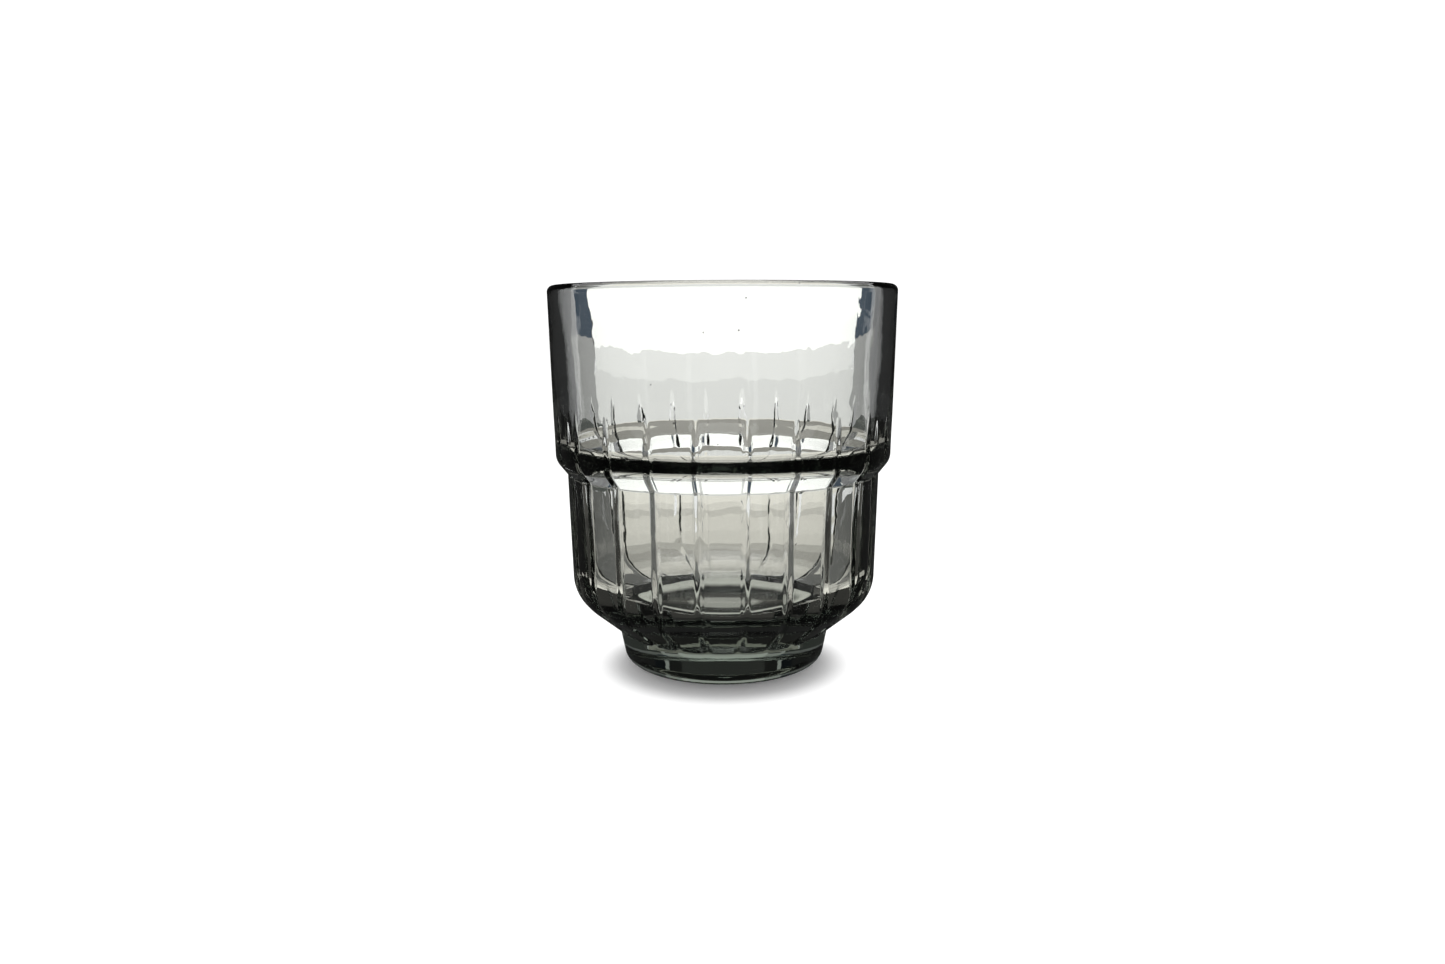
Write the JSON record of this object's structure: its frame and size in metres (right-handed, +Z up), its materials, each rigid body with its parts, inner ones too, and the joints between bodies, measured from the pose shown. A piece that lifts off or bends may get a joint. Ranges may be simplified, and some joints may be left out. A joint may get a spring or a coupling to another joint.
{
  "type": "whiskey tumbler",
  "caption": "Stacking pressed-glass whiskey tumbler with a plain upper band, stepped shoulder, grooved lower body, thick base and round foot.",
  "frame": {"origin": "centre of the flat ring the glass stands on", "axes": "+Z up, out of the mouth; +X and +Y level, with +X and +Y each halfway between two grooves; the picture looks along +Y"},
  "size_m": [0.087, 0.0868, 0.096],
  "materials": {
    "smoke_glass": "fire-polished smoke-grey pressed glass"
  },
  "bodies": {
    "root": {"tumbler_glass": "smoke_glass"}
  },
  "joints": []
}
